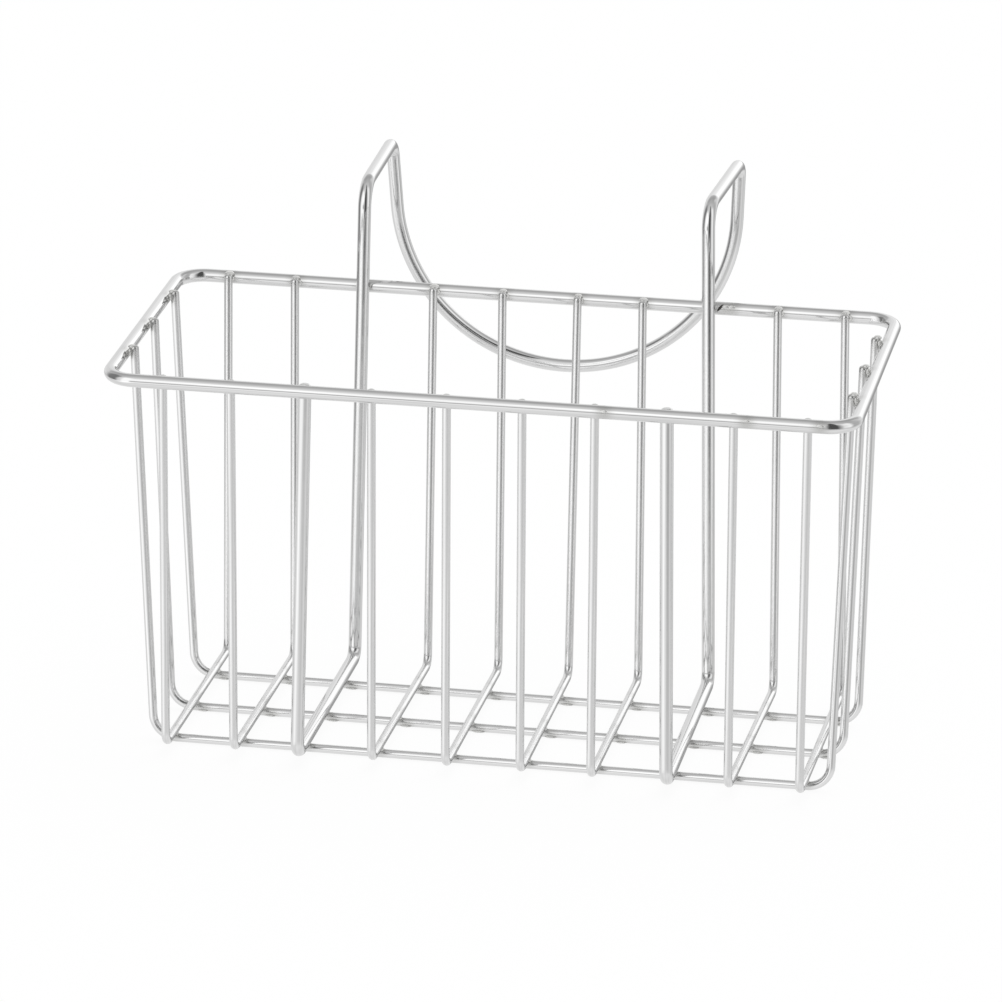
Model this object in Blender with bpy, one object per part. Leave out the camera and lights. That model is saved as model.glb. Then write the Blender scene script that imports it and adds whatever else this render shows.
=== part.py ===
"""Sink organizer basket: a welded basket of round stainless wire with an over-divider hanger.

Units are metres, +Z is up, +X runs along the basket and +Y points at the side that hangs.
The origin is the middle of the whole basket's footprint, at the surface that its floor stands on.
Run it with: blender --background --python part.py
"""

import math

import bpy
from mathutils import Matrix, Quaternion, Vector

# Wire diameters
RIM_WIRE = 0.0042
HANGER_WIRE = 0.0042
THIN_WIRE = 0.0027

# Rim, a rounded rectangle measured between wire centres
RIM_LENGTH = 0.2333
RIM_WIDTH = 0.1049
RIM_CORNER_RADIUS = 0.0090

# Basket: from the rim's centre plane down to the centre of the thin cross wires' floor runs
BASKET_DEPTH = 0.1253
WELD_GAP = 0.0003           # seam kept between neighbouring wires

# How far the welded ends of the wires stand above the rim's centre plane
FRONT_END_RISE = 0.0010
BACK_END_RISE = 0.0020
LEFT_END_RISE = 0.0031
RIGHT_END_RISE = 0.0026

# How far each wall runs inwards between the rim and the floor
SIDE_WALL_LEAN = 0.0074     # thin wires of the front and back walls
HANGER_FRONT_LEAN = 0.0050  # hanger wire in the same walls
HANGER_BACK_LEAN = 0.0063
LEFT_END_LEAN = 0.0048
RIGHT_END_LEAN = 0.0024

# Bends, measured on the wire's centre line
CROSS_BEND_RADIUS = 0.0040
HANGER_BEND_RADIUS = 0.0042
LONG_BEND_RADIUS = 0.0075
SADDLE_FRONT_RADIUS = 0.0080
SADDLE_BACK_RADIUS = 0.0046

# Hanger above the rim: two saddle bars that lie on the divider, and the arc that drops behind it
SADDLE_HEIGHT = 0.0346      # rim's centre plane to the saddle bars' centres
SADDLE_REACH = 0.0495       # back wall at the rim to the plane of the arc
ARC_DROP = 0.0733           # saddle bars down to the lowest point of the arc
LEFT_ARC_LEAN = 0.0056      # how far each side of the arc runs inwards over that drop
RIGHT_ARC_LEAN = 0.0024

# Places along X of the eight thin cross wires, as shares of the straight runs below them: half
# the rim's run, and the left or right half of the floor's. The hand-set spacing is the
# photographed basket's own, and each wire lies a little askew, as it was welded.
CROSS_FRONT_RIM_SHARES = (-0.921, -0.721, -0.309, -0.090, 0.129, 0.339, 0.738, 0.950)
CROSS_FRONT_FLOOR_SHARES = (-1.009, -0.790, -0.348, -0.112, 0.122, 0.341, 0.763, 0.982)
CROSS_BACK_FLOOR_SHARES = (-0.995, -0.773, -0.330, -0.097, 0.131, 0.354, 0.785, 0.998)
CROSS_BACK_RIM_SHARES = (-0.933, -0.729, -0.307, -0.097, 0.130, 0.326, 0.731, 0.932)

# The hanger's two legs in the same shares: at the front of the rim, on the floor's front and back
# edges, at the front of the saddle and at the top of the arc
HANGER_FRONT_RIM_SHARES = (-0.505, 0.545)
HANGER_FRONT_FLOOR_SHARES = (-0.582, 0.576)
HANGER_BACK_FLOOR_SHARES = (-0.573, 0.577)
HANGER_SADDLE_SHARES = (-0.516, 0.517)
HANGER_ARC_SHARES = (-0.5235, 0.5435)

# The three long wires from the front to the back: places along Y, as shares of half the floor's
# flat width, and how far their ends run inwards, as shares of the leans above
LONG_WIRE_SHARES = (-0.764, -0.047, 0.701)
LONG_LEFT_LEAN_SHARES = (0.96, 0.83, 1.08)
LONG_RIGHT_LEAN_SHARES = (1.60, 1.40, 1.00)

# Facets; a multiple of four sides puts flats along both axes of a wire's section
THIN_SIDES = 8
THICK_SIDES = 12
BEND_STEPS = 5
CORNER_STEPS = 8
ARC_STEPS = 15              # in each half of the arc
ARC_FULLNESS = 0.999        # leaves a short straight between the arc's two halves
QUARTER_TURN = math.pi / 2

# Derived places, in the basket's own frame: the rim's centre is its zero
HALF_LENGTH = RIM_LENGTH / 2
HALF_WIDTH = RIM_WIDTH / 2
THIN_INSET = (RIM_WIRE + THIN_WIRE) / 2 + WELD_GAP
HANGER_INSET = (RIM_WIRE + HANGER_WIRE) / 2 + WELD_GAP
CROSS_FLOOR_Z = -BASKET_DEPTH
HANGER_FLOOR_Z = CROSS_FLOOR_Z + (HANGER_WIRE - THIN_WIRE) / 2
LONG_FLOOR_Z = CROSS_FLOOR_Z - THIN_WIRE - WELD_GAP
STAND_HEIGHT = THIN_WIRE / 2 - LONG_FLOOR_Z
RIM_RUN = HALF_LENGTH - RIM_CORNER_RADIUS
LEFT_FLOOR_RUN = HALF_LENGTH - THIN_INSET - LEFT_END_LEAN - LONG_BEND_RADIUS
RIGHT_FLOOR_RUN = HALF_LENGTH - THIN_INSET - RIGHT_END_LEAN - LONG_BEND_RADIUS
FLOOR_HALF_WIDTH = HALF_WIDTH - HANGER_INSET - HANGER_BACK_LEAN - HANGER_BEND_RADIUS
ARC_PLANE_Y = HALF_WIDTH - HANGER_INSET + SADDLE_REACH
FRONT_Y = -HALF_WIDTH - RIM_WIRE / 2
BACK_Y = ARC_PLANE_Y + HANGER_WIRE / 2


def steel(name, colour, roughness):
    """Polished stainless steel as a Principled material."""
    material = bpy.data.materials.new(name)
    material.use_nodes = True
    shader = material.node_tree.nodes["Principled BSDF"]
    shader.inputs["Base Color"].default_value = (*colour, 1)
    shader.inputs["Metallic"].default_value = 1
    shader.inputs["Roughness"].default_value = roughness
    material.diffuse_color = (*colour, 1)
    return material


def bend(before, corner, after, radius, steps):
    """Points of the arc that rounds one corner of a wire."""
    to_before = (before - corner).normalized()
    to_after = (after - corner).normalized()
    half_angle = to_before.angle(to_after) / 2
    centre = corner + (to_before + to_after).normalized() * (radius / math.sin(half_angle))
    start = corner + to_before * (radius / math.tan(half_angle)) - centre
    end = corner + to_after * (radius / math.tan(half_angle)) - centre
    axis = start.cross(end).normalized()
    sweep = start.angle(end)
    return [centre + Quaternion(axis, sweep * step / steps) @ start
            for step in range(steps + 1)]


def bent_wire(corners, radii, steps=BEND_STEPS):
    """Route through the corners, where each inner corner is bent to its own radius."""
    route = [corners[0]]
    for index, radius in enumerate(radii, start=1):
        route += bend(corners[index - 1], corners[index], corners[index + 1], radius, steps)
    return route + [corners[-1]]


def on_line(low, high, z):
    """Point at height z on the straight line through two points."""
    return low.lerp(high, (z - low.z) / (high.z - low.z))


def along_floor(share):
    """Place along X on the floor's straight run, whose two halves differ by the ends' leans."""
    return share * (LEFT_FLOOR_RUN if share < 0 else RIGHT_FLOOR_RUN)


def level_tilts(route, sides, closed):
    """Tilt at each point that turns flats of the section, not ridges, along the world's axes.

    It follows the least-twist frame along the wire and takes out its turn away from whichever
    axis lies most across the wire. Four flats lie square to each other, so a turn counts only
    within a quarter turn.
    """
    tilts = []
    frame = None
    for index, point in enumerate(route):
        ahead = route[(index + 1) % len(route)] - point
        behind = point - route[index - 1]
        if not closed and index == 0:
            behind = ahead
        if not closed and index == len(route) - 1:
            ahead = behind
        along = (ahead.normalized() + behind.normalized()).normalized()
        if frame is None:
            frame = along.to_track_quat("-Z", "Y")
        else:
            frame = last_along.rotation_difference(along) @ frame
        last_along = along
        across = Vector([float(axis == min(range(3), key=lambda item: abs(along[item])))
                         for axis in range(3)])
        side = frame @ Vector((1, 0, 0))
        up = along.cross(side)
        turn = math.atan2(across.dot(up), across.dot(side))
        turn -= round(turn / QUARTER_TURN) * QUARTER_TURN
        tilts.append(turn + math.pi / sides)
    return tilts


def add_wire(name, route, diameter, sides, material, closed=False):
    """Round wire along a route, faceted so that its flats lie at its true diameter."""
    curve = bpy.data.curves.new(name, "CURVE")
    curve.dimensions = "3D"
    curve.twist_mode = "MINIMUM"
    curve.bevel_depth = diameter / 2 / math.cos(math.pi / sides)
    curve.bevel_resolution = sides // 2 - 2
    curve.use_fill_caps = not closed
    curve.materials.append(material)
    middle = sum(route, Vector()) / len(route)
    spline = curve.splines.new("POLY")
    spline.points.add(len(route) - 1)
    spline.use_cyclic_u = closed
    spline.use_smooth = True
    for point, place, tilt in zip(spline.points, route, level_tilts(route, sides, closed)):
        point.co = (*(place - middle), 1)
        point.tilt = tilt
    wire = bpy.data.objects.new(name, curve)
    wire.location = middle
    wire.parent = basket
    basket_parts.objects.link(wire)
    return wire


def rim_route():
    """Closed rounded rectangle in the rim's plane."""
    route = []
    for number, (side_x, side_y) in enumerate(((1, 1), (-1, 1), (-1, -1), (1, -1))):
        centre = Vector((side_x * (HALF_LENGTH - RIM_CORNER_RADIUS),
                         side_y * (HALF_WIDTH - RIM_CORNER_RADIUS), 0))
        for step in range(CORNER_STEPS + 1):
            turn = Matrix.Rotation(QUARTER_TURN * (number + step / CORNER_STEPS), 3, "Z")
            route.append(centre + turn @ Vector((RIM_CORNER_RADIUS, 0, 0)))
    return route


def cross_route(front_rim, front_floor, back_floor, back_rim):
    """U of one thin cross wire: down the front wall, over the floor and up the back wall."""
    wall_y = HALF_WIDTH - THIN_INSET
    floor_y = wall_y - SIDE_WALL_LEAN
    corners = [Vector((RIM_RUN * front_rim, -wall_y, FRONT_END_RISE)),
               Vector((along_floor(front_floor), -floor_y, CROSS_FLOOR_Z)),
               Vector((along_floor(back_floor), floor_y, CROSS_FLOOR_Z)),
               Vector((RIM_RUN * back_rim, wall_y, BACK_END_RISE))]
    return bent_wire(corners, [CROSS_BEND_RADIUS] * 2)


def long_route(width_share, left_share, right_share):
    """U of one long wire: down the left end, under the cross wires and up the right end."""
    y = FLOOR_HALF_WIDTH * width_share
    end_x = HALF_LENGTH - THIN_INSET
    corners = [Vector((-end_x, y, LEFT_END_RISE)),
               Vector((LEFT_END_LEAN * left_share - end_x, y, LONG_FLOOR_Z)),
               Vector((end_x - RIGHT_END_LEAN * right_share, y, LONG_FLOOR_Z)),
               Vector((end_x, y, RIGHT_END_RISE))]
    return bent_wire(corners, [LONG_BEND_RADIUS] * 2)


def hanger_half(side):
    """Half of the hanger wire, from its front end to the top of the arc; side 0 is the left."""
    wall_y = HALF_WIDTH - HANGER_INSET
    front_end = Vector((RIM_RUN * HANGER_FRONT_RIM_SHARES[side], -wall_y, FRONT_END_RISE))
    front_floor = Vector((along_floor(HANGER_FRONT_FLOOR_SHARES[side]),
                          HANGER_FRONT_LEAN - wall_y, HANGER_FLOOR_Z))
    back_floor = Vector((along_floor(HANGER_BACK_FLOOR_SHARES[side]),
                         wall_y - HANGER_BACK_LEAN, HANGER_FLOOR_Z))
    at_saddle = on_line(back_floor, Vector((back_floor.x, wall_y, 0)), SADDLE_HEIGHT)
    at_saddle.x = RIM_RUN * HANGER_SADDLE_SHARES[side]
    behind = arc_corner(side, 0)
    return bent_wire([front_end, front_floor, back_floor, at_saddle, behind, arc_corner(side, 1)],
                     [HANGER_BEND_RADIUS, HANGER_BEND_RADIUS, SADDLE_FRONT_RADIUS,
                      SADDLE_BACK_RADIUS])[:-1]


def arc_corner(side, down):
    """Corner of the wire behind the divider, before it is bent; down is 0 for the saddle's."""
    inwards = LEFT_ARC_LEAN if side == 0 else -RIGHT_ARC_LEAN
    return Vector((RIM_RUN * HANGER_ARC_SHARES[side] + inwards * down, ARC_PLANE_Y,
                   SADDLE_HEIGHT - ARC_DROP * down))


def hanger_route():
    """The whole hanger wire: left half, the arc behind the divider, and the right half."""
    left = hanger_half(0)
    right = hanger_half(1)
    lowest = [arc_corner(side, 1) for side in (0, 1)]
    reaches = sum(math.tan(math.atan2(ARC_DROP, lean) / 2)
                  for lean in (LEFT_ARC_LEAN, RIGHT_ARC_LEAN))
    radius = (lowest[1].x - lowest[0].x) / reaches
    arc = bent_wire([left[-1], *lowest, right[-1]], [radius * ARC_FULLNESS] * 2, ARC_STEPS)
    return left + arc[1:-1] + right[::-1]


for item in list(bpy.data.objects):
    bpy.data.objects.remove(item, do_unlink=True)

basket_parts = bpy.data.collections.new("sink_organizer_basket")
bpy.context.scene.collection.children.link(basket_parts)

# The basket's frame: the rim's centre, above the middle of the footprint
basket = bpy.data.objects.new("basket_frame", None)
basket.location = (0, -(FRONT_Y + BACK_Y) / 2, STAND_HEIGHT)
basket_parts.objects.link(basket)

rim_steel = steel("polished_steel_rim", (0.83, 0.83, 0.82), 0.16)
thin_steel = steel("polished_steel_thin_wire", (0.80, 0.80, 0.79), 0.18)
hanger_steel = steel("polished_steel_hanger", (0.85, 0.85, 0.84), 0.15)

# Rim
add_wire("rim_wire", rim_route(), RIM_WIRE, THICK_SIDES, rim_steel, closed=True)

# Thin cross wires, numbered from the left end
cross_places = zip(CROSS_FRONT_RIM_SHARES, CROSS_FRONT_FLOOR_SHARES, CROSS_BACK_FLOOR_SHARES,
                   CROSS_BACK_RIM_SHARES)
for number, shares in enumerate(cross_places, start=1):
    add_wire(f"cross_wire_{number}", cross_route(*shares), THIN_WIRE, THIN_SIDES, thin_steel)

# Hanger, which is also two of the basket's cross wires
add_wire("hanger_wire", hanger_route(), HANGER_WIRE, THICK_SIDES, hanger_steel)

# Long wires under the cross wires, from the front to the back
long_places = zip(LONG_WIRE_SHARES, LONG_LEFT_LEAN_SHARES, LONG_RIGHT_LEAN_SHARES)
for place, shares in zip(("front", "middle", "back"), long_places):
    add_wire(f"long_wire_{place}", long_route(*shares), THIN_WIRE, THIN_SIDES, thin_steel)
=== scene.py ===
"""Looks of the sink organizer basket: smooth drawn wires, their welds and a white studio.

Lengths are metres in the frame's own axes: +X along the basket, +Y to the side that hangs, +Z up.
"""

import math

import bpy
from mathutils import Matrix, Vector, kdtree


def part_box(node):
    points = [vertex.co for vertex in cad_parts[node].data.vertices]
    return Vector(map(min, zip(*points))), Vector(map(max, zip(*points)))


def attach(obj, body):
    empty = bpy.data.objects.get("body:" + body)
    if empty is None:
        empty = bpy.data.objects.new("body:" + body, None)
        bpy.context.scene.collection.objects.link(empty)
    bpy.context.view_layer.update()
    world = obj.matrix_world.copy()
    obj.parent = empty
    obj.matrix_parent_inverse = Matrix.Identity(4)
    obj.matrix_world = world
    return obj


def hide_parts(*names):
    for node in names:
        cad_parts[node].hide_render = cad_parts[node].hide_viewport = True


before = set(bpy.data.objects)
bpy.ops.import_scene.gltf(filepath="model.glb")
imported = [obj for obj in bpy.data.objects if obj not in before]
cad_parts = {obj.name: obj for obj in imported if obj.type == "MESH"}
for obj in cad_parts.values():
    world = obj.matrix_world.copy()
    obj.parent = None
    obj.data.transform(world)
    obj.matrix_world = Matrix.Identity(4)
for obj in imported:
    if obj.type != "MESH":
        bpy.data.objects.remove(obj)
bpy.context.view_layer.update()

# Rim
# One 4.2 mm stainless wire bent into a rounded rectangle. Its two ends are butt-welded behind, just
# right of the hanger's right leg, and the other wires are welded to its inner side.

RIM_CORNER_RADIUS = 0.0090
RIM_SEAM_X = 0.0598          # where the rim wire's two ends meet in the back run
BEND_STEPS = 14
RING_SPACING = 0.0011        # rings along straight wire, close enough to carry the heat marks
WIRE_SIDES = 24
SHARP_EDGE = 50              # degrees between faces from which an edge shows


def add(tree, kind, inputs=None, **settings):
    """Adds a node with its settings. A socket in inputs is linked, any other value is set."""
    node = tree.nodes.new(kind)
    for name, value in settings.items():
        setattr(node, name, value)
    for name, value in (inputs or {}).items():
        if isinstance(value, bpy.types.NodeSocket):
            tree.links.new(value, node.inputs[name])
        else:
            node.inputs[name].default_value = value
    return node


def srgb(code):
    """Linear RGBA of an sRGB hex colour."""
    parts = [int(code[place:place + 2], 16) / 255 for place in (1, 3, 5)]
    return (*[part / 12.92 if part <= 0.04045 else ((part + 0.055) / 1.055) ** 2.4
              for part in parts], 1)


def polished_stainless(name, clean, drawn, roughness):
    """Drawn and polished stainless wire, 304 steel, with fine marks along it and greyer welds.

    The eye sees a mirror that is stretched along the wire: the die leaves marks a few hundredths
    of a millimetre apart, drawn here ten times as coarse so that they show at all.
    """
    mark_width = 0.0004
    mark_length = 0.060
    mark_roughness = 0.04        # what the marks add where they lie closest
    wave_length = 0.009
    wave_length_round = 0.030
    wave_height = 0.00002
    heat_tint = "#C6C6C4"
    heat_roughness = 0.20
    material = bpy.data.materials.new(name)
    material.use_nodes = True
    tree = material.node_tree
    shader = tree.nodes["Principled BSDF"]
    shader.inputs["Metallic"].default_value = 1
    way = add(tree, "ShaderNodeAttribute", attribute_name="wire_way")
    heat = add(tree, "ShaderNodeAttribute", attribute_name="weld_heat")
    fine = add(tree, "ShaderNodeMapping",
               {"Vector": way.outputs["Vector"],
                "Scale": (1 / mark_width, 1 / mark_width, 1 / mark_length)})
    marks = add(tree, "ShaderNodeTexNoise", {"Vector": fine.outputs[0], "Scale": 1, "Detail": 3})
    long = add(tree, "ShaderNodeMapping",
               {"Vector": way.outputs["Vector"],
                "Scale": (1 / wave_length_round, 1 / wave_length_round, 1 / wave_length)})
    waves = add(tree, "ShaderNodeTexNoise", {"Vector": long.outputs[0], "Scale": 1, "Detail": 1})
    contrast = add(tree, "ShaderNodeMapRange",
                   {"Value": marks.outputs["Fac"], "From Min": 0.42, "From Max": 0.68})
    steel = add(tree, "ShaderNodeMix",
                {0: contrast.outputs[0], 6: srgb(clean), 7: srgb(drawn)}, data_type="RGBA")
    tint = add(tree, "ShaderNodeMix",
               {0: heat.outputs["Fac"], 6: steel.outputs[2], 7: srgb(heat_tint)},
               data_type="RGBA")
    tree.links.new(tint.outputs[2], shader.inputs["Base Color"])
    gloss = add(tree, "ShaderNodeMapRange",
                {"Value": marks.outputs["Fac"], "From Min": 0.35, "From Max": 0.75,
                 "To Min": roughness, "To Max": roughness + mark_roughness})
    dull = add(tree, "ShaderNodeMath",
               {0: heat.outputs["Fac"], 1: heat_roughness, 2: gloss.outputs[0]},
               operation="MULTIPLY_ADD")
    tree.links.new(dull.outputs[0], shader.inputs["Roughness"])
    bump = add(tree, "ShaderNodeBump",
               {"Height": waves.outputs["Fac"], "Strength": 1, "Distance": wave_height})
    tree.links.new(bump.outputs[0], shader.inputs["Normal"])
    return material


def bent_wire_tree():
    """Geometry Nodes: bends a path's straight runs to its radii and draws a round wire along it."""
    tree = bpy.data.node_groups.new("bent_wire", "GeometryNodeTree")
    for name, kind in (("Path", "NodeSocketGeometry"), ("Diameter", "NodeSocketFloat"),
                       ("Sides", "NodeSocketInt"), ("Ring spacing", "NodeSocketFloat"),
                       ("Steel", "NodeSocketMaterial")):
        tree.interface.new_socket(name, in_out="INPUT", socket_type=kind)
    tree.interface.new_socket("Wire", in_out="OUTPUT", socket_type="NodeSocketGeometry")
    given = add(tree, "NodeGroupInput").outputs
    radius = add(tree, "GeometryNodeInputNamedAttribute", {"Name": "bend_radius"}).outputs[0]
    steps = add(tree, "GeometryNodeInputNamedAttribute", {"Name": "bend_steps"},
                data_type="INT").outputs[0]
    section = add(tree, "GeometryNodeInputNamedAttribute", {"Name": "section"}).outputs[0]
    path = add(tree, "GeometryNodeMeshToCurve", {"Mesh": given["Path"]})
    bends = add(tree, "GeometryNodeFilletCurve",
                {"Curve": path.outputs[0], "Count": steps, "Radius": radius, "Limit Radius": True},
                mode="POLY")
    here = add(tree, "GeometryNodeInputPosition").outputs[0]
    following = add(tree, "GeometryNodeOffsetPointInCurve", {"Offset": 1})
    there = add(tree, "GeometryNodeFieldAtIndex",
                {"Index": following.outputs["Point Index"], "Value": here},
                data_type="FLOAT_VECTOR")
    run = add(tree, "ShaderNodeVectorMath", {0: here, 1: there.outputs[0]}, operation="DISTANCE")
    cuts = add(tree, "ShaderNodeMath", {0: run.outputs["Value"], 1: given["Ring spacing"]},
               operation="DIVIDE")
    rings = add(tree, "GeometryNodeSubdivideCurve",
                {"Curve": bends.outputs[0], "Cuts": cuts.outputs[0]})
    half = add(tree, "ShaderNodeMath", {0: given["Diameter"], 1: 0.5}, operation="MULTIPLY")
    circle = add(tree, "GeometryNodeCurvePrimitiveCircle",
                 {"Resolution": given["Sides"], "Radius": half.outputs[0]})
    keep_along = add(tree, "GeometryNodeCaptureAttribute", {"Geometry": rings.outputs[0]})
    keep_along.capture_items.new("FLOAT", "Along")
    tree.links.new(add(tree, "GeometryNodeSplineParameter").outputs["Length"],
                   keep_along.inputs["Along"])
    keep_around = add(tree, "GeometryNodeCaptureAttribute", {"Geometry": circle.outputs[0]})
    keep_around.capture_items.new("VECTOR", "Around")
    tree.links.new(here, keep_around.inputs["Around"])
    wire = add(tree, "GeometryNodeCurveToMesh",
               {"Curve": keep_along.outputs["Geometry"],
                "Profile Curve": keep_around.outputs["Geometry"],
                "Scale": section, "Fill Caps": True})
    around = add(tree, "ShaderNodeSeparateXYZ", {0: keep_around.outputs["Around"]})
    way = add(tree, "ShaderNodeCombineXYZ",
              {0: around.outputs[0], 1: around.outputs[1], 2: keep_along.outputs["Along"]})
    marked = add(tree, "GeometryNodeStoreNamedAttribute",
                 {"Geometry": wire.outputs[0], "Name": "wire_way", "Value": way.outputs[0]},
                 data_type="FLOAT_VECTOR")
    real = add(tree, "GeometryNodeRealizeInstances", {"Geometry": marked.outputs[0]})
    steel = add(tree, "GeometryNodeSetMaterial",
                {"Geometry": real.outputs[0], "Material": given["Steel"]})
    add(tree, "NodeGroupOutput", {"Wire": steel.outputs[0]})
    return tree


def finished(guide, tree, sizes):
    """Runs a tree with its named sizes on a guide, whose mesh becomes the plain result."""
    modifier = guide.modifiers.new(tree.name, "NODES")
    modifier.node_group = tree
    for socket in tree.interface.items_tree:
        if socket.name in sizes:
            modifier[socket.identifier] = sizes[socket.name]
    result = guide.evaluated_get(bpy.context.evaluated_depsgraph_get())
    mesh = bpy.data.meshes.new_from_object(result)
    guide.modifiers.remove(modifier)
    guide.data = mesh
    mesh.name = guide.name
    mesh.shade_smooth()
    mesh.set_sharp_from_angle(angle=math.radians(SHARP_EDGE))
    return guide


def guide_of(name, places, edges, **numbers):
    """Guide object of points and edges that carries named numbers or vectors for a tree."""
    mesh = bpy.data.meshes.new(name)
    mesh.from_pydata(places, edges, [])
    for kind, values in numbers.items():
        if isinstance(values[0], int):
            mesh.attributes.new(kind, "INT", "POINT").data.foreach_set("value", values)
        elif isinstance(values[0], float):
            mesh.attributes.new(kind, "FLOAT", "POINT").data.foreach_set("value", values)
        else:
            flat = [number for value in values for number in value]
            mesh.attributes.new(kind, "FLOAT_VECTOR", "POINT").data.foreach_set("vector", flat)
    guide = bpy.data.objects.new(name, mesh)
    bpy.context.scene.collection.objects.link(guide)
    return guide


def corner(place, radius=0.0, steps=0, section=1.0):
    """One point of a route: where it is, how it is bent and how thick the wire is there."""
    return place, float(radius), steps, float(section)


def draw(name, route, diameter, material, closed=False):
    """Round wire along a route of corners, as a plain mesh that rides on the basket."""
    places, radii, steps, sections = zip(*route)
    links = len(route) if closed else len(route) - 1
    guide = guide_of(name, places, [(index, (index + 1) % len(route)) for index in range(links)],
                     bend_radius=radii, bend_steps=steps, section=sections)
    wire = finished(guide, bent_wire, {"Diameter": diameter, "Sides": WIRE_SIDES,
                                       "Ring spacing": RING_SPACING, "Steel": material})
    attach(wire, "root")
    return wire


def draw_for(node, route, diameter, material, closed=False):
    """Smooth wire that stands for a CAD node."""
    wire = draw(node + "_drawn", route, diameter, material, closed)
    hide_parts(node)
    wires.append(wire)


def span(node, low=(-1, -1, -1), high=(1, 1, 1)):
    """Lowest and highest corner of the CAD node's vertices that lie between two corners."""
    found = [vertex.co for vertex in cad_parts[node].data.vertices
             if all(low[axis] < vertex.co[axis] < high[axis] for axis in range(3))]
    return (Vector([min(co[axis] for co in found) for axis in range(3)]),
            Vector([max(co[axis] for co in found) for axis in range(3)]))


def middle(node, low=(-1, -1, -1), high=(1, 1, 1)):
    """Middle of the CAD node's vertices that lie between two corners."""
    first, last = span(node, low, high)
    return (first + last) / 2


wires = []
bent_wire = bent_wire_tree()
rim_low, rim_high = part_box("rim_wire")
rim_diameter = rim_high.z - rim_low.z
rim_middle = (rim_low + rim_high) / 2
rim_half = (rim_high - rim_low) / 2 - Vector((rim_diameter, rim_diameter, 0)) / 2
rim_seam = Vector((RIM_SEAM_X, rim_middle.y + rim_half.y, rim_middle.z))
rim_route = [corner(rim_seam)]
for side_x, side_y in ((1, 1), (1, -1), (-1, -1), (-1, 1)):
    place = rim_middle + Vector((side_x * rim_half.x, side_y * rim_half.y, 0))
    rim_route.append(corner(place, RIM_CORNER_RADIUS, BEND_STEPS))
rim_steel = polished_stainless("polished_304_rim_wire", "#E9E9E9", "#DCDCDC", 0.05)
draw_for("rim_wire", rim_route, rim_diameter, rim_steel, closed=True)

# Cross wires
# Eight 2.7 mm wires, each bent into a U and resistance-welded with its two cut ends against the
# inner side of the rim. They make the front wall, the floor and the back wall.

THIN_WIRE = 0.0027
CROSS_WALL_LEAN = 0.0074
CROSS_BEND_RADIUS = 0.0040
RIM_WELD = (0.0020, 0.0009, 0.0011)      # half sizes of the welds on the rim's long sides
RIM_WELD_RISE = 0.0003                   # how far above the rim's middle plane they lie
BACK_CAP = (0.0014, 0.0014, 0.0007)      # half sizes of the metal that ran over a back end
BACK_CAP_SHIFT = (0, 0.0016, 0.0018)     # from the wire's middle in the rim's plane
SLICE = 0.0001                           # thin slice that only a wire's outermost points lie in


def cut_end(end, inward, diameter):
    """Points of a wire's end, whose edge the cut and the polish have left round."""
    edge_share = 0.62
    edge = edge_share * diameter / 2
    step = (inward - end).normalized() * edge
    turns = [math.radians(degrees) for degrees in (0, 20, 40, 60, 90)]
    return [corner(end + step * (1 - math.cos(turn)), section=1 - edge_share * (1 - math.sin(turn)))
            for turn in turns]


def open_route(start, bends, end, diameter):
    """Route from one cut end through the bends to the other cut end."""
    return (cut_end(start, bends[0][0], diameter) + bends
            + cut_end(end, bends[-1][0], diameter)[::-1])


def end_of(node, low=(-1, -1), high=(1, 1)):
    """Middle of the wire's cut end above the rim's plane, between two places in plan."""
    return middle(node, (*low, rim_middle.z), (*high, 1))


def along_y(first, last, y):
    """Point at a place along Y on the straight line through two points."""
    return first.lerp(last, (y - first.y) / (last.y - first.y))


def floor_run(node, diameter, left=-1, right=1):
    """Two points on the centre line of a wire's straight run over the floor."""
    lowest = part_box(node)[0].z
    just_above = lowest + SLICE
    front = middle(node, (left, -1, -1), (right, rim_middle.y, just_above))
    back = middle(node, (left, rim_middle.y, -1), (right, 1, just_above))
    front.z = back.z = lowest + diameter / 2
    return front, back


def weld(place, spread):
    """Notes a weld by its middle and its half sizes along the three axes."""
    welds.append((place, spread))


welds = []
cross_steel = polished_stainless("polished_304_cross_wire", "#EEEEEE", "#E2E2E2", 0.16)
floor_runs = []
for number in range(1, 9):
    node = f"cross_wire_{number}"
    front = end_of(node, high=(1, rim_middle.y))
    back = end_of(node, low=(-1, rim_middle.y))
    run = floor_run(node, THIN_WIRE)
    bends = [corner(along_y(*run, y), CROSS_BEND_RADIUS, BEND_STEPS)
             for y in (front.y + CROSS_WALL_LEAN, back.y - CROSS_WALL_LEAN)]
    draw_for(node, open_route(front, bends, back, THIN_WIRE), THIN_WIRE,
             cross_steel)
    for end, side in ((front, -1), (back, 1)):
        weld(Vector((end.x, end.y + side * THIN_WIRE / 2, rim_middle.z + RIM_WELD_RISE)), RIM_WELD)
    weld(Vector((back.x, back.y, rim_middle.z)) + Vector(BACK_CAP_SHIFT), BACK_CAP)
    floor_runs.append(run)

# Long wires
# Three 2.7 mm wires that run under the cross wires from end to end, bent up at both ends and
# welded to the rim's inner side. The basket stands on them.

LONG_BEND_RADIUS = 0.0075
LEFT_END_LEANS = (0.0046, 0.0040, 0.0052)
RIGHT_END_LEANS = (0.0038, 0.0034, 0.0024)
END_WELD = (0.0009, 0.0009, 0.0012)      # half sizes of the welds on the rim's short sides
END_WELD_RISE = 0.0009
END_CAP = (0.0012, 0.0011, 0.0006)       # half sizes of the metal that ran over an end wire's end
END_CAP_OUT = 0.0008                     # how far towards the rim that metal lies
END_CAP_RISE = 0.0027

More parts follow.
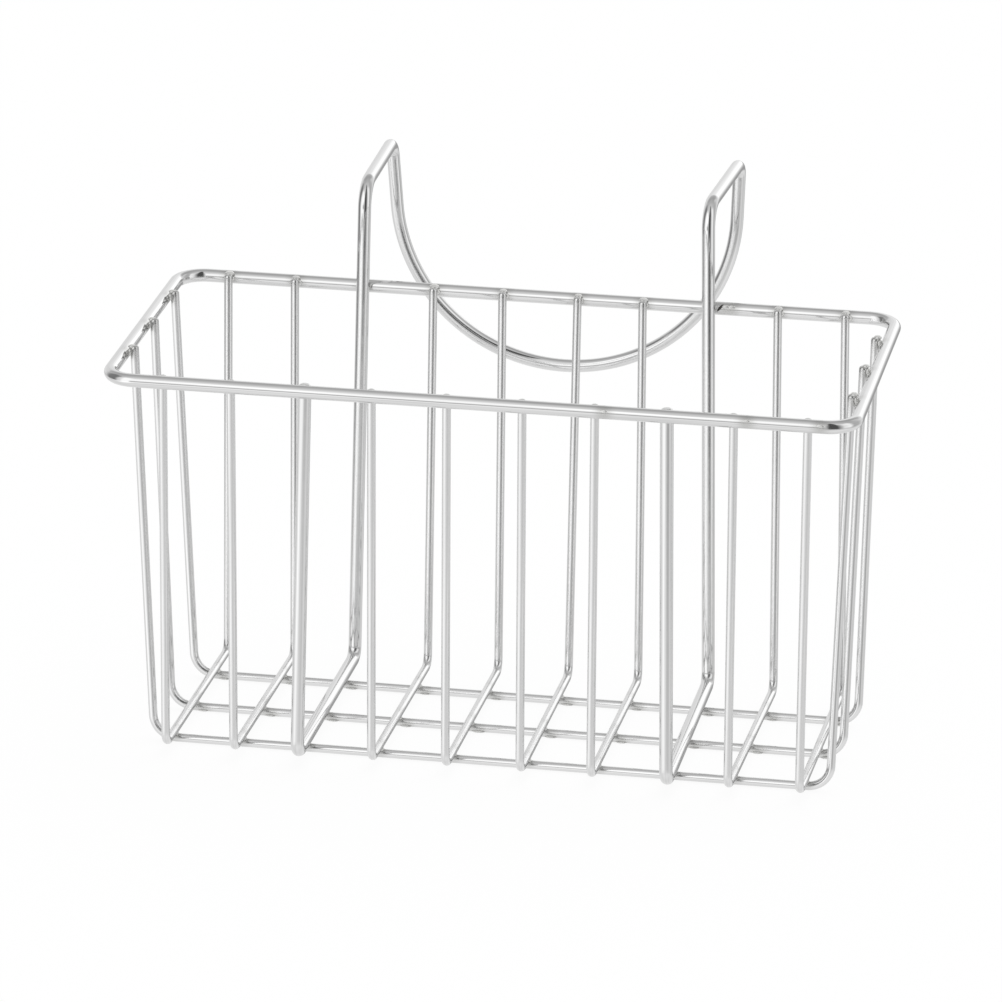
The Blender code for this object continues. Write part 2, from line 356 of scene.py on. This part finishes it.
long_steel = polished_stainless("polished_304_long_wire", "#EEEEEE", "#E2E2E2", 0.11)
long_ys = []
for place, left_lean, right_lean in zip(("front", "middle", "back"), LEFT_END_LEANS,
                                        RIGHT_END_LEANS):
    node = f"long_wire_{place}"
    left = end_of(node, high=(rim_middle.x, 1))
    right = end_of(node, low=(rim_middle.x, -1))
    floor_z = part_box(node)[0].z + THIN_WIRE / 2
    bends = [corner(Vector((x, left.y, floor_z)), LONG_BEND_RADIUS, BEND_STEPS)
             for x in (left.x + left_lean, right.x - right_lean)]
    draw_for(node, open_route(left, bends, right, THIN_WIRE), THIN_WIRE,
             long_steel)
    for end, side in ((left, -1), (right, 1)):
        weld(Vector((end.x + side * THIN_WIRE / 2, end.y, rim_middle.z + END_WELD_RISE)), END_WELD)
        weld(Vector((end.x + side * END_CAP_OUT, end.y, rim_middle.z + END_CAP_RISE)), END_CAP)
    long_ys.append(left.y)

# Hanger
# One 4.2 mm wire that makes two of the basket's ribs, the two bars that lie on the divider and the
# arc that drops behind it. Its two ends are welded to the front of the rim.

HANGER_WIRE = 0.0042
HANGER_FRONT_LEAN = 0.0050
HANGER_BACK_LEAN = 0.0063
HANGER_BEND_RADIUS = 0.0042
SADDLE_FRONT_RADIUS = 0.0080
SADDLE_BACK_RADIUS = 0.0046
ARC_LEANS = (0.0056, 0.0024)             # how far each side of the arc runs inwards going down
ARC_FULLNESS = 0.999                     # leaves a short straight between the arc's two halves
ARC_STEPS = 40                           # rings in each half of the arc

low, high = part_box("hanger_wire")
saddle_z = high.z - HANGER_WIRE / 2
arc_y = high.y - HANGER_WIRE / 2
arc_z = span("hanger_wire", (-1, rim_high.y + HANGER_WIRE, -1))[0].z + HANGER_WIRE / 2
halves = []
for left, right, inwards in ((-1, 0, ARC_LEANS[0]), (0, 1, -ARC_LEANS[1])):
    front = end_of("hanger_wire", (left, -1), (right, rim_middle.y))
    back_y = 2 * rim_middle.y - front.y
    run = floor_run("hanger_wire", HANGER_WIRE, left, right)
    on_floor = [along_y(*run, y)
                for y in (front.y + HANGER_FRONT_LEAN, back_y - HANGER_BACK_LEAN)]
    rise_share = (saddle_z - rim_middle.z) / (rim_middle.z - run[0].z)
    bar_top = high.z - SLICE
    bar = [middle("hanger_wire", (left, -1, bar_top), (right, (back_y + arc_y) / 2, 1)),
           middle("hanger_wire", (left, (back_y + arc_y) / 2, bar_top), (right, 1, 1))]
    in_front, behind = [along_y(*bar, y)
                        for y in (back_y + HANGER_BACK_LEAN * rise_share, arc_y)]
    in_front.z = behind.z = saddle_z
    bends = [corner(place, radius, BEND_STEPS)
             for place, radius in ((on_floor[0], HANGER_BEND_RADIUS),
                                   (on_floor[1], HANGER_BEND_RADIUS),
                                   (in_front, SADDLE_FRONT_RADIUS),
                                   (behind, SADDLE_BACK_RADIUS))]
    lowest = Vector((behind.x + inwards, arc_y, arc_z))
    at_rim = in_front.lerp(on_floor[1], rise_share / (1 + rise_share))
    weld(Vector((front.x, low.y, rim_middle.z + RIM_WELD_RISE)), RIM_WELD)
    weld(Vector((at_rim.x, 2 * rim_middle.y - low.y, rim_middle.z)), RIM_WELD)
    halves.append((front, bends, lowest))
    floor_runs.append(run)
(left_front, left_bends, left_lowest), (right_front, right_bends, right_lowest) = halves
reaches = sum(math.tan(math.atan2(saddle_z - arc_z, lean) / 2) for lean in ARC_LEANS)
arc_radius = ARC_FULLNESS * (right_lowest.x - left_lowest.x) / reaches
arc = [corner(place, arc_radius, ARC_STEPS) for place in (left_lowest, right_lowest)]
hanger_steel = polished_stainless("polished_304_hanger_wire", "#EAEAEA", "#DEDEDE", 0.07)
route = open_route(left_front, left_bends + arc + right_bends[::-1], right_front, HANGER_WIRE)
draw_for("hanger_wire", route, HANGER_WIRE, hanger_steel)

# Welds
# Small lumps of steel squeezed out where two wires were pressed together and welded, a little
# rough and grey, with a dull heat mark on the wires beside them. At the rim's butt weld, a dark
# strip of painted shade stands for the shade in the weld's open gap.

FLOOR_WELD = (0.0013, 0.0013, 0.0006)    # half sizes of the welds between the floor's wires
SEAM_WELD = (0.0007, 0.00215, 0.00215)   # half sizes of the ring that the rim's butt weld raised
SEAM_GAP = 0.0009                        # width of the painted shade line: a dark strip that stands for the butt weld's open gap
SEAM_SLANT = 0.0019                      # how far right the line runs on its way up
SEAM_ENDS = (-14, 58)                    # where the line starts and ends, degrees up from the front
SEAM_STEPS = 14
SEAM_END_WIDTH = 0.2                     # share of the line's width that is left at its two ends
SEAM_SPLASH = (0.0014, 0.0005, 0.0007)   # half sizes of a drop of steel right of the butt weld
SEAM_SPLASH_SHIFTS = (0.0017, 0.0037)    # how far right of the butt weld those drops lie
SEAM_SPLASH_TILT = 32                    # where round the rim those drops sit, degrees up
SPLASH = (0.0014, 0.0004, 0.0007)        # half sizes of a drop of steel on the front run
SPLASH_XS = (0.0402, 0.0841, 0.1068)     # where along the front run those drops lie
SPLASH_TILT = 22                         # where round the rim those drops sit, degrees up
SPLASH_SUNK = 0.0003                     # how deep the drops' middles lie under the rim's surface
UNDER_WELD = (0.0019, 0.0006, 0.0004)    # half sizes of the drops under the long wires
UNDER_WELD_RIGHT = 0.0026                # how far right of each crossing those drops lie
UNDER_WELD_FRONT = 0.38 * THIN_WIRE      # how far in front of it
UNDER_WELD_DOWN = 0.80 * THIN_WIRE       # how far below the long wire's top
HEAT_REACH = 0.0042                      # how far from a weld's middle the heat mark ends
LUMP_SPACING = 0.0008
LUMP_HEIGHT = 0.00015
LUMP_SEED = 4


def weld_metal(name):
    """Weld metal: 304 steel that melted and froze, cleaned in acid. Grey, matt and uneven.

    The acid leaves it so matt that half of what it sends back is scattered.
    """
    grain_size = 0.0003
    grain_height = 0.000003
    material = bpy.data.materials.new(name)
    material.use_nodes = True
    tree = material.node_tree
    shader = tree.nodes["Principled BSDF"]
    shader.inputs["Metallic"].default_value = 0.5
    place = add(tree, "ShaderNodeTexCoord").outputs["Object"]
    grain = add(tree, "ShaderNodeTexNoise", {"Vector": place, "Scale": 1 / grain_size, "Detail": 3})
    colour = add(tree, "ShaderNodeMix",
                 {0: grain.outputs["Fac"], 6: srgb("#D2D2D0"), 7: srgb("#F0F0EE")},
                 data_type="RGBA")
    tree.links.new(colour.outputs[2], shader.inputs["Base Color"])
    gloss = add(tree, "ShaderNodeMapRange",
                {"Value": grain.outputs["Fac"], "To Min": 0.30, "To Max": 0.20})
    tree.links.new(gloss.outputs[0], shader.inputs["Roughness"])
    bump = add(tree, "ShaderNodeBump",
               {"Height": grain.outputs["Fac"], "Strength": 1, "Distance": grain_height})
    tree.links.new(bump.outputs[0], shader.inputs["Normal"])
    return material


def weld_nugget_tree():
    """Geometry Nodes: sets a lump of weld metal on each point, its surface a little uneven."""
    smallest = 0.85
    largest = 1.15
    tree = bpy.data.node_groups.new("weld_nugget", "GeometryNodeTree")
    for name, kind in (("Places", "NodeSocketGeometry"), ("Lump spacing", "NodeSocketFloat"),
                       ("Lump height", "NodeSocketFloat"), ("Seed", "NodeSocketInt"),
                       ("Steel", "NodeSocketMaterial")):
        tree.interface.new_socket(name, in_out="INPUT", socket_type=kind)
    tree.interface.new_socket("Nuggets", in_out="OUTPUT", socket_type="NodeSocketGeometry")
    given = add(tree, "NodeGroupInput").outputs
    spread = add(tree, "GeometryNodeInputNamedAttribute", {"Name": "spread"},
                 data_type="FLOAT_VECTOR").outputs[0]
    share = add(tree, "FunctionNodeRandomValue",
                {2: smallest, 3: largest, "Seed": given["Seed"]}, data_type="FLOAT")
    size = add(tree, "ShaderNodeVectorMath", {0: spread, "Scale": share.outputs[1]},
               operation="SCALE")
    ball = add(tree, "GeometryNodeMeshIcoSphere", {"Radius": 1, "Subdivisions": 3})
    set_out = add(tree, "GeometryNodeInstanceOnPoints",
                  {"Points": given["Places"], "Instance": ball.outputs["Mesh"],
                   "Scale": size.outputs[0]})
    real = add(tree, "GeometryNodeRealizeInstances", {"Geometry": set_out.outputs[0]})
    fineness = add(tree, "ShaderNodeMath", {0: 1, 1: given["Lump spacing"]}, operation="DIVIDE")
    lumps = add(tree, "ShaderNodeTexNoise",
                {"Vector": add(tree, "GeometryNodeInputPosition").outputs[0],
                 "Scale": fineness.outputs[0], "Detail": 1})
    centred = add(tree, "ShaderNodeMath", {0: lumps.outputs["Fac"], 1: 0.5}, operation="SUBTRACT")
    height = add(tree, "ShaderNodeMath", {0: centred.outputs[0], 1: given["Lump height"]},
                 operation="MULTIPLY")
    shift = add(tree, "ShaderNodeVectorMath",
                {0: add(tree, "GeometryNodeInputNormal").outputs[0], "Scale": height.outputs[0]},
                operation="SCALE")
    uneven = add(tree, "GeometryNodeSetPosition",
                 {"Geometry": real.outputs[0], "Offset": shift.outputs[0]})
    steel = add(tree, "GeometryNodeSetMaterial",
                {"Geometry": uneven.outputs[0], "Material": given["Steel"]})
    add(tree, "NodeGroupOutput", {"Nuggets": steel.outputs[0]})
    return tree


def open_seam(name):
    """Painted shade: a dark, matt colour for the shade inside the gap that the weld didn't fill,
    laid on the rim's surface.
    """
    material = bpy.data.materials.new(name)
    material.use_nodes = True
    shader = material.node_tree.nodes["Principled BSDF"]
    shader.inputs["Base Color"].default_value = srgb("#3C3A38")
    shader.inputs["Roughness"].default_value = 0.6
    return material


def round_the_rim(tilt, sunk=0.0):
    """Way from the rim wire's middle to its surface, tilted up by degrees from its front."""
    turn = math.radians(tilt)
    return (rim_diameter / 2 - sunk) * Vector((0, -math.cos(turn), math.sin(turn)))


def mark_heat(wire):
    """Stores on every point of a wire how near it is to a weld, from 0 to 1."""
    heat = []
    for vertex in wire.data.vertices:
        distance = weld_tree.find(vertex.co)[2]
        nearness = max(0.0, 1 - distance / HEAT_REACH)
        heat.append(nearness * nearness * (3 - 2 * nearness))
    wire.data.attributes.new("weld_heat", "FLOAT", "POINT").data.foreach_set("value", heat)


long_top_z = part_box("long_wire_middle")[0].z + THIN_WIRE
for run in floor_runs:
    for y in long_ys:
        weld(Vector((along_y(*run, y).x, y, long_top_z)), FLOOR_WELD)
        if y > long_ys[0]:
            drop = Vector((UNDER_WELD_RIGHT, -UNDER_WELD_FRONT, -UNDER_WELD_DOWN))
            weld(Vector((along_y(*run, y).x, y, long_top_z)) + drop, UNDER_WELD)
weld(rim_seam, SEAM_WELD)
for shift in SEAM_SPLASH_SHIFTS:
    weld(rim_seam + Vector((shift, 0, 0)) + round_the_rim(SEAM_SPLASH_TILT, SPLASH_SUNK),
         SEAM_SPLASH)
for x in SPLASH_XS:
    weld(Vector((x, rim_middle.y - rim_half.y, rim_middle.z))
         + round_the_rim(SPLASH_TILT, SPLASH_SUNK), SPLASH)
weld_tree = kdtree.KDTree(len(welds))
for index, (place, spread) in enumerate(welds):
    weld_tree.insert(place, index)
weld_tree.balance()
for wire in wires:
    mark_heat(wire)
# Painted shade: a thin dark strip over the rim's surface at the butt weld. It stands for the shade
# inside the weld's open gap, which is not cut into the rim.
seam_line = []
for step in range(SEAM_STEPS + 1):
    share = step / SEAM_STEPS
    out = round_the_rim(SEAM_ENDS[0] + share * (SEAM_ENDS[1] - SEAM_ENDS[0]))
    along = Vector((SEAM_SLANT * (share - 0.5), 0, 0))
    width = max(SEAM_END_WIDTH, math.sin(math.pi * share))
    seam_line.append(corner(rim_seam + out + along, section=width))
draw("rim_seam_line", seam_line, SEAM_GAP, open_seam("seam_oxide"))
nuggets = guide_of("weld_nuggets", [place for place, spread in welds], [],
                   spread=[spread for place, spread in welds])
finished(nuggets, weld_nugget_tree(),
         {"Lump spacing": LUMP_SPACING, "Lump height": LUMP_HEIGHT, "Seed": LUMP_SEED,
          "Steel": weld_metal("pickled_weld_metal")})
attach(nuggets, "root")

# Studio
# A white table in a white room, as for a catalogue picture, with softboxes and dark flags set
# round it. The polished wires mirror them as bright and dark lines that run along the steel.

TABLE_HALF = 3.0
TABLE_GLOW = 0.92                        # share of the table's picture that is plain white
# The camera's place, turns and lens come from a fit to where the wires lie in the photograph
LOOKS_FROM = (0.35432, -1.94464, 0.80475)
LOOKS_ALONG = (69.6220, -0.3011, 10.6002)   # degrees that the camera is turned about each axis
SENSOR_WIDTH = 36
LENS = 236.93
PLAIN_LIGHT = 0.60                       # how bright the room is for all that isn't a mirror
LAMP_LIGHT = 0.44
LAMP_SPREAD = 70
LAMP_TURN = (-18, 12, 0)
ROOM_LEAN = (0, 0.05, 1)                 # the mirrored room's upright, tilted to the far side
FLAG_LEVEL = 0.09
BEHIND_FROM = 0.80                       # share of a direction along Y from which it looks behind
BEHIND_FULL = 0.88


def bands(tree, angle, stops):
    """Brightness by angle in degrees, from stops of (angle, level), soft between them."""
    first = stops[0][0]
    last = stops[-1][0]
    share = add(tree, "ShaderNodeMapRange", {"Value": angle, "From Min": first, "From Max": last})
    ramp = add(tree, "ShaderNodeValToRGB", {0: share.outputs[0]})
    ramp.color_ramp.interpolation = "EASE"
    points = ramp.color_ramp.elements
    while len(points) < len(stops):
        points.new(1)
    for point, (at, level) in zip(points, stops):
        point.position = (at - first) / (last - first)
        point.color = (level, level, level, 1)
    return ramp.outputs[0]


def degrees_of(tree, rise, run):
    """Angle in degrees of a direction, from its two shares."""
    turn = add(tree, "ShaderNodeMath", {0: rise, 1: run}, operation="ARCTAN2")
    return add(tree, "ShaderNodeMath", {0: turn.outputs[0]}, operation="DEGREES").outputs[0]


world = bpy.data.worlds.new("white_studio")
bpy.context.scene.world = world
world.use_nodes = True
world.cycles.sampling_method = "NONE"
tree = world.node_tree
way = add(tree, "ShaderNodeTexCoord").outputs["Generated"]
to_camera = Vector((LOOKS_FROM[0], LOOKS_FROM[1], 0)).normalized()
to_right = Vector((-to_camera.y, to_camera.x, 0))
front = add(tree, "ShaderNodeVectorMath", {0: way, 1: to_camera},
            operation="DOT_PRODUCT").outputs["Value"]
side = add(tree, "ShaderNodeVectorMath", {0: way, 1: to_right},
           operation="DOT_PRODUCT").outputs["Value"]
up = add(tree, "ShaderNodeSeparateXYZ", {0: way}).outputs[2]
# The levels of over, near, far and across began as the brightness measured on the photographed
# wires in each mirrored direction, rounded, and were then changed from one render to the next
# Table below, a window high behind the camera and a dim ceiling: what wires along X mirror
over = bands(tree, degrees_of(tree, up, front),
             [(-180, 0.86), (-125, 0.86), (-90, 0.82), (-48, 0.88), (-30, 0.84), (-16, 0.62),
              (-6, 0.44), (2, 0.46), (12, 0.95), (22, 1.25), (38, 1.28), (50, 0.92), (64, 0.78),
              (84, 0.62), (104, 0.50), (124, 0.42), (138, 0.50), (150, 0.80), (180, 0.86)])
# The table's far part, brighter to the left, and the room above it
turn = degrees_of(tree, side, front)
near = bands(tree, turn, [(-180, 0.80), (-125, 0.82), (-104, 0.78), (-86, 0.90), (-70, 1.06),
                          (-56, 1.24), (-38, 1.18), (-22, 0.96), (-8, 0.76), (8, 0.62),
                          (32, 0.60), (60, 0.76), (92, 0.66), (120, 0.78), (180, 0.80)])
far = bands(tree, turn, [(-180, 0.75), (-130, 0.62), (-108, 0.24), (-86, 0.22), (-68, 0.85),
                         (-52, 1.28), (-32, 1.28), (-18, 1.00), (-4, 0.66), (16, 0.78),
                         (38, 0.45), (56, 0.95), (72, 1.08), (90, 0.50), (106, 0.52),
                         (130, 0.80), (180, 0.75)])
rise = add(tree, "ShaderNodeVectorMath", {0: way, 1: ROOM_LEAN}, operation="DOT_PRODUCT")
slope = add(tree, "ShaderNodeMath", {0: rise.outputs["Value"]}, operation="ARCSINE")
height = add(tree, "ShaderNodeMath", {0: slope.outputs[0]}, operation="DEGREES").outputs[0]
distance = bands(tree, height, [(-90, 0), (-18.4, 0), (-15.4, 1), (90, 1)])
around = add(tree, "ShaderNodeMix", {0: distance, 2: near, 3: far})
belt = bands(tree, height, [(-90, 0), (-36, 0), (-25, 1), (-12, 1), (-6, 0), (90, 0)])
beside = bands(tree, turn, [(-180, 0), (-140, 0), (-120, 1), (-36, 1), (-28, 0), (-15, 0),
                            (-8, 1), (120, 1), (140, 0), (180, 0)])
wall = bands(tree, height, [(-90, 0), (-20, 0), (-15, 1), (42, 1), (58, 0), (90, 0)])
walls = add(tree, "ShaderNodeMath", {0: beside, 1: wall}, operation="MULTIPLY")
round_about = add(tree, "ShaderNodeMath", {0: walls.outputs[0], 1: belt}, operation="MAXIMUM")
room = add(tree, "ShaderNodeMix", {0: round_about.outputs[0], 2: over, 3: around.outputs[0]})
# A tall black flag right of the camera, which draws the dark line down the legs, and its dim
# shade on the table, which greys the front wall's wires below the rim
flag = add(tree, "ShaderNodeMath", operation="MULTIPLY", inputs={
    0: bands(tree, turn, [(-180, 0), (-9, 0), (4, 1), (28, 1), (42, 0), (180, 0)]),
    1: bands(tree, height, [(-90, 0), (-28.5, 0), (-26, 0.4), (-23.5, 0.4), (-21.5, 0),
                            (-16.8, 0), (-16.1, 1), (76, 1), (86, 0), (90, 0)])})
ahead = add(tree, "ShaderNodeMix", {0: flag.outputs[0], 2: room.outputs[0], 3: FLAG_LEVEL})
# Behind the basket a bright window and a dark corner beside it: what wires along Y mirror
sideways, backwards = add(tree, "ShaderNodeSeparateXYZ", {0: way}).outputs[:2]
across = bands(tree, degrees_of(tree, up, sideways),
               [(-180, 0.80), (-110, 0.78), (-84, 0.42), (-55, 0.36), (-32, 0.42), (-12, 0.66),
                (4, 1.00), (22, 1.28), (54, 1.28), (72, 1.10), (94, 0.94), (120, 0.90),
                (150, 0.82), (180, 0.80)])
behind = add(tree, "ShaderNodeMapRange",
             {"Value": backwards, "From Min": BEHIND_FROM, "From Max": BEHIND_FULL})
mirrored = add(tree, "ShaderNodeMix", {0: behind.outputs[0], 2: ahead.outputs[0], 3: across})
path = add(tree, "ShaderNodeLightPath").outputs
plain = add(tree, "ShaderNodeMix",
            {0: path["Is Diffuse Ray"], 2: mirrored.outputs[0], 3: PLAIN_LIGHT})
seen = add(tree, "ShaderNodeMix", {0: path["Is Camera Ray"], 2: plain.outputs[0], 3: 1.0})
tree.links.new(seen.outputs[0], tree.nodes["Background"].inputs["Strength"])
tree.nodes["Background"].inputs["Color"].default_value = (1, 1, 1, 1)

table_mesh = bpy.data.meshes.new("table")
table_mesh.from_pydata([(-TABLE_HALF, -TABLE_HALF, 0), (TABLE_HALF, -TABLE_HALF, 0),
                        (TABLE_HALF, TABLE_HALF, 0), (-TABLE_HALF, TABLE_HALF, 0)],
                       [], [(0, 1, 2, 3)])
table = bpy.data.objects.new("table", table_mesh)
bpy.context.scene.collection.objects.link(table)
# The room that the wires mirror holds its own picture of the table
table.visible_glossy = False
table_paint = bpy.data.materials.new("white_table_paint")
table_paint.use_nodes = True
tree = table_paint.node_tree
tree.nodes.remove(tree.nodes["Principled BSDF"])
lit = add(tree, "ShaderNodeBsdfDiffuse", {"Color": srgb("#FDFDFD")})
glow = add(tree, "ShaderNodeEmission", {"Strength": 1})
share = add(tree, "ShaderNodeMath",
            {0: add(tree, "ShaderNodeLightPath").outputs["Is Camera Ray"], 1: TABLE_GLOW},
            operation="MULTIPLY")
mixed = add(tree, "ShaderNodeMixShader",
            {0: share.outputs[0], 1: lit.outputs[0], 2: glow.outputs[0]})
tree.links.new(mixed.outputs[0], tree.nodes["Material Output"].inputs["Surface"])
table_mesh.materials.append(table_paint)

lamp_data = bpy.data.lights.new("overhead_softbox", "SUN")
lamp_data.energy = LAMP_LIGHT * math.pi
lamp_data.angle = math.radians(LAMP_SPREAD)
lamp = bpy.data.objects.new("overhead_softbox", lamp_data)
lamp.rotation_euler = [math.radians(turn) for turn in LAMP_TURN]
lamp.visible_glossy = False
bpy.context.scene.collection.objects.link(lamp)

camera_data = bpy.data.cameras.new("camera")
camera_data.sensor_width = SENSOR_WIDTH
camera_data.lens = LENS
camera = bpy.data.objects.new("camera", camera_data)
camera.location = LOOKS_FROM
camera.rotation_euler = [math.radians(turn) for turn in LOOKS_ALONG]
bpy.context.scene.collection.objects.link(camera)
bpy.context.scene.camera = camera
bpy.context.scene.view_settings.view_transform = "Standard"
